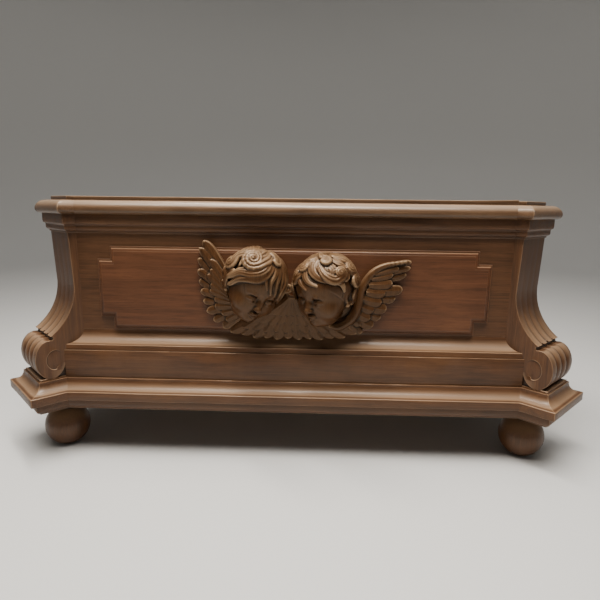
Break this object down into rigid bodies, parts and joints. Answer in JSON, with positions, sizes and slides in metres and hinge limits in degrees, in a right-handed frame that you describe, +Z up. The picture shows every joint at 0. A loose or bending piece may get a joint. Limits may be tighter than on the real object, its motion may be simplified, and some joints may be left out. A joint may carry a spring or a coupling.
{
  "type": "carved wooden trough font",
  "caption": "Long low moulded timber trough font on bun feet, with scrolled corner consoles, two winged cherub heads and a lift-out metal liner.",
  "frame": {"origin": "centre of the floor footprint, under the middle of the trough", "axes": "+X to the right along the length, +Y from the carved front to the back, +Z up"},
  "size_m": [1.3994, 0.6074, 0.609],
  "materials": {
    "dark_wood": "dark stained walnut, waxed and worn",
    "panel_wood": "reddish stained walnut, waxed",
    "rim_wood": "worn and faded stained walnut",
    "carved_wood": "carved walnut with dark recesses and rubbed high points",
    "inner_wood": "plain unfinished pine",
    "zinc": "dull weathered zinc sheet",
    "brass": "aged brass",
    "steel": "plain steel screws"
  },
  "bodies": {
    "trough": {"board_front": "dark_wood", "board_back": "dark_wood", "board_left": "dark_wood", "board_right": "dark_wood", "panel_front": "panel_wood", "panel_back": "panel_wood", "panel_left": "panel_wood", "panel_right": "panel_wood", "skirt_front": "dark_wood", "skirt_back": "dark_wood", "skirt_left": "dark_wood", "skirt_right": "dark_wood", "base_front": "dark_wood", "base_back": "dark_wood", "base_left": "dark_wood", "base_right": "dark_wood", "base_block_fl": "dark_wood", "base_block_fr": "dark_wood", "base_block_bl": "dark_wood", "base_block_br": "dark_wood", "under_frame": "dark_wood", "under_blocks": "dark_wood", "floor_board": "inner_wood", "corner_posts": "inner_wood", "cornice_front": "dark_wood", "cornice_back": "dark_wood", "cornice_left": "dark_wood", "cornice_right": "dark_wood", "cornice_corners": "dark_wood", "rim_front": "rim_wood", "rim_back": "rim_wood", "rim_left": "rim_wood", "rim_right": "rim_wood", "rim_corner_fl": "rim_wood", "rim_corner_fr": "rim_wood", "rim_corner_bl": "rim_wood", "rim_corner_br": "rim_wood", "strip_front": "rim_wood", "strip_back": "rim_wood", "strip_ends": "rim_wood", "strip_corners": "rim_wood", "console_fl": "dark_wood", "console_fr": "dark_wood", "console_bl": "dark_wood", "console_br": "dark_wood", "foot_fl": "dark_wood", "foot_fr": "dark_wood", "foot_bl": "dark_wood", "foot_br": "dark_wood", "cherub_left": "carved_wood", "cherub_right": "carved_wood", "wing_left": "carved_wood", "wing_right": "carved_wood", "feather_collar": "carved_wood", "liner_rests": "inner_wood", "screws": "steel"},
    "liner": {"liner": "zinc", "handle_lugs": "brass"},
    "handle_left": {"handle_left": "brass"},
    "handle_right": {"handle_right": "brass"}
  },
  "joints": [
    {"name": "liner_lift", "type": "slide", "parent": "trough", "child": "liner", "axis": [0, 0, 1], "range_m": [0, 0.28]},
    {"name": "handle_left_swing", "type": "hinge", "parent": "liner", "child": "handle_left", "pos_m": [-0.51, 0, 0.54], "axis": [0, -1, 0], "range_deg": [0, 170]},
    {"name": "handle_right_swing", "type": "hinge", "parent": "liner", "child": "handle_right", "pos_m": [0.51, 0, 0.54], "axis": [0, 1, 0], "range_deg": [0, 170]}
  ]
}
